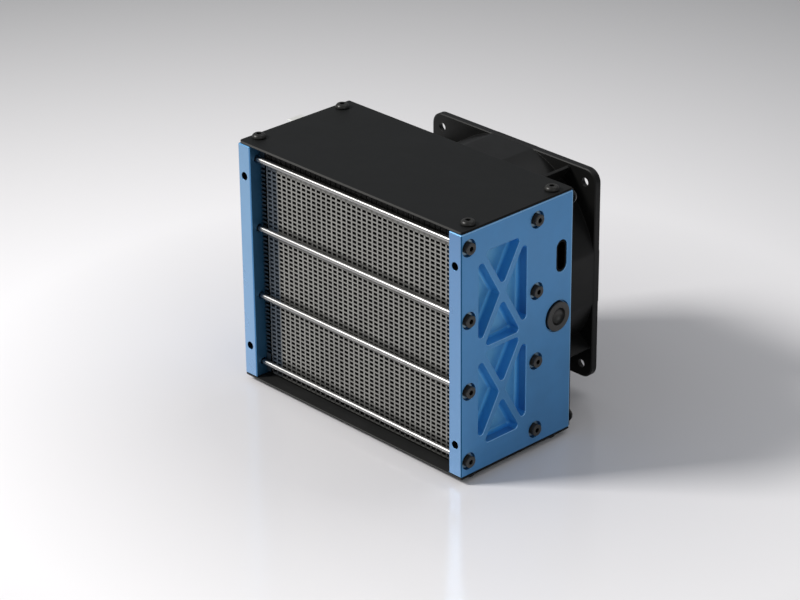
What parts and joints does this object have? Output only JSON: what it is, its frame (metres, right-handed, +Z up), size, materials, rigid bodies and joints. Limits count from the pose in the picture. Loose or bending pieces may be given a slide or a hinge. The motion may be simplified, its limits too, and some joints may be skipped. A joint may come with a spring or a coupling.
{
  "type": "air cooled fuel cell stack",
  "caption": "Box-shaped air-cooled fuel cell stack: anodised end plates and tie rods clamp ribbed cells, with an axial fan behind.",
  "frame": {"origin": "under the middle of the whole object, on the surface that the lower screw heads stand on", "axes": "+X along the stack from the left to the right end plate, +Y from the open air inlet to the fan, +Z up"},
  "size_m": [0.1718, 0.1208, 0.142],
  "materials": {
    "blue_anodised": "satin blue anodised",
    "black_sheet": "matt black coat",
    "cell_plates": "matt light grey",
    "manifold_plastic": "matt",
    "plated_copper": "satin plated",
    "polished_steel": "polished",
    "blackened_steel": "black oxide, satin",
    "fan_plastic": "satin moulded",
    "gasket_rubber": "matt",
    "bearing_bronze": "satin",
    "port_plastic": "satin moulded",
    "connector_plastic": "matt"
  },
  "bodies": {
    "stack": {"left_end_plate": "blue_anodised", "right_end_plate": "blue_anodised", "top_cover": "black_sheet", "bottom_cover": "black_sheet", "rear_panel": "black_sheet", "cell_stack": "cell_plates", "left_manifold_plate": "manifold_plastic", "right_manifold_plate": "manifold_plastic", "left_current_collector": "plated_copper", "right_current_collector": "plated_copper", "tie_bolt_1": "polished_steel", "tie_washer_1": "polished_steel", "tie_nut_1": "blackened_steel", "tie_bolt_2": "polished_steel", "tie_washer_2": "polished_steel", "tie_nut_2": "blackened_steel", "tie_bolt_3": "polished_steel", "tie_washer_3": "polished_steel", "tie_nut_3": "blackened_steel", "tie_bolt_4": "polished_steel", "tie_washer_4": "polished_steel", "tie_nut_4": "blackened_steel", "tie_bolt_5": "polished_steel", "tie_washer_5": "polished_steel", "tie_nut_5": "blackened_steel", "tie_bolt_6": "polished_steel", "tie_washer_6": "polished_steel", "tie_nut_6": "blackened_steel", "tie_bolt_7": "polished_steel", "tie_washer_7": "polished_steel", "tie_nut_7": "blackened_steel", "tie_bolt_8": "polished_steel", "tie_washer_8": "polished_steel", "tie_nut_8": "blackened_steel", "top_cover_screw_1": "blackened_steel", "bottom_cover_screw_1": "blackened_steel", "panel_screw_1": "blackened_steel", "fan_screw_1": "blackened_steel", "top_cover_screw_2": "blackened_steel", "bottom_cover_screw_2": "blackened_steel", "panel_screw_2": "blackened_steel", "fan_screw_2": "blackened_steel", "top_cover_screw_3": "blackened_steel", "bottom_cover_screw_3": "blackened_steel", "panel_screw_3": "blackened_steel", "fan_screw_3": "blackened_steel", "top_cover_screw_4": "blackened_steel", "bottom_cover_screw_4": "blackened_steel", "panel_screw_4": "blackened_steel", "fan_screw_4": "blackened_steel", "fan_gasket": "gasket_rubber", "fan_frame": "fan_plastic", "fan_bearing": "bearing_bronze", "right_gas_port": "port_plastic", "left_gas_port": "port_plastic", "connector": "connector_plastic", "connector_pin_1": "polished_steel", "connector_pin_2": "polished_steel"},
    "fan_rotor": {"fan_impeller": "fan_plastic", "fan_shaft": "polished_steel"}
  },
  "joints": [
    {"name": "fan_spin", "type": "hinge", "parent": "stack", "child": "fan_rotor", "pos_m": [0.00455, 0.04145, 0.07], "axis": [0, 1, 0], "continuous": true}
  ]
}
